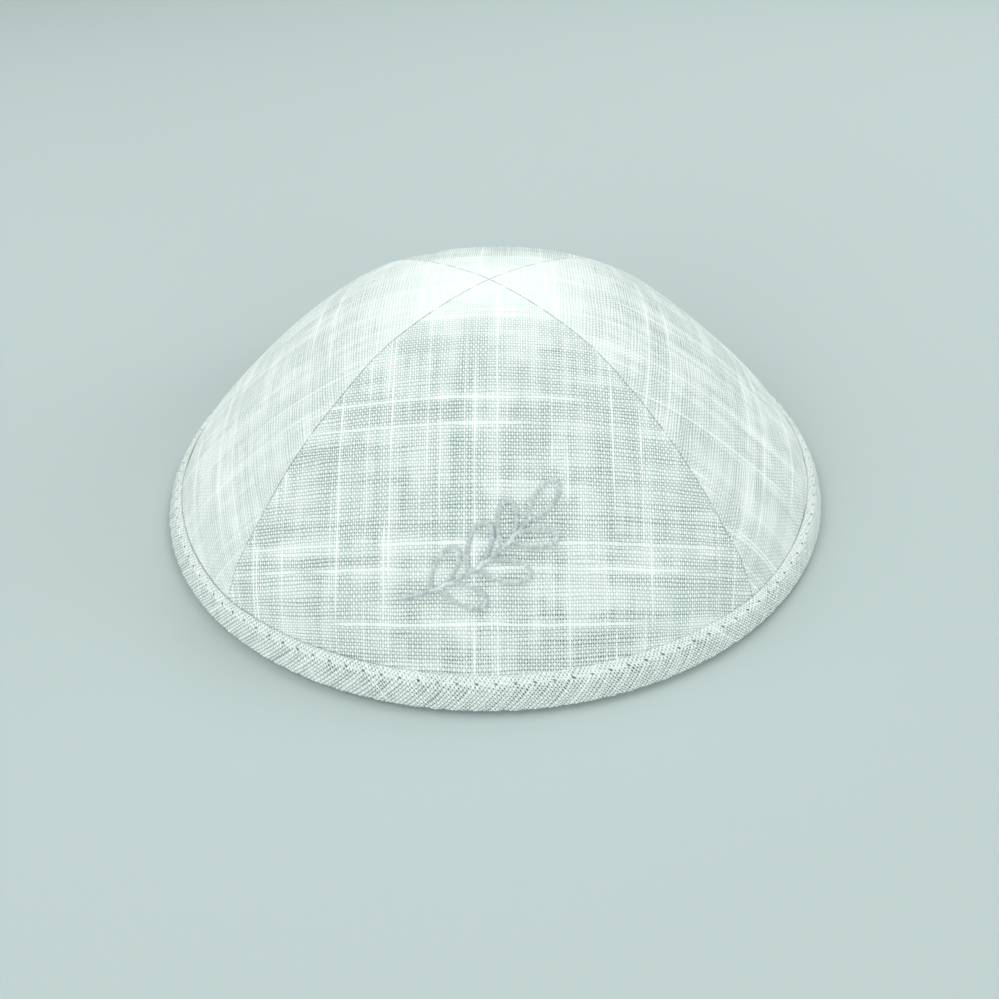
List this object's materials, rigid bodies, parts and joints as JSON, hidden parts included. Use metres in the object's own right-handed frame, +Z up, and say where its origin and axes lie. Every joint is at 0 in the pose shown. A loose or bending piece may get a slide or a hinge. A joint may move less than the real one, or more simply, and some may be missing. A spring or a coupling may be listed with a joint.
{
  "type": "kippah skullcap",
  "caption": "Round four-panel skullcap in slubbed white linen, with a topstitched bias binding round the rim and a satin-stitched sprig on the front panel.",
  "frame": {"origin": "on the table that the rim rests on, straight under the apex where the four seams meet", "axes": "+Z up, -Y towards the front, where the embroidered panel is, +X to the right of someone who looks at that front"},
  "size_m": [0.1684, 0.1684, 0.0545],
  "materials": {
    "linen": "plain weave with slubs, matt",
    "bias_linen": "the same linen cut on the bias, matt",
    "satin_thread": "embroidery thread in satin stitch, soft sheen"
  },
  "bodies": {
    "root": {"panel_right": "linen", "panel_back": "linen", "panel_left": "linen", "panel_front": "linen", "rim_binding": "bias_linen", "embroidered_sprig": "satin_thread"}
  },
  "joints": []
}
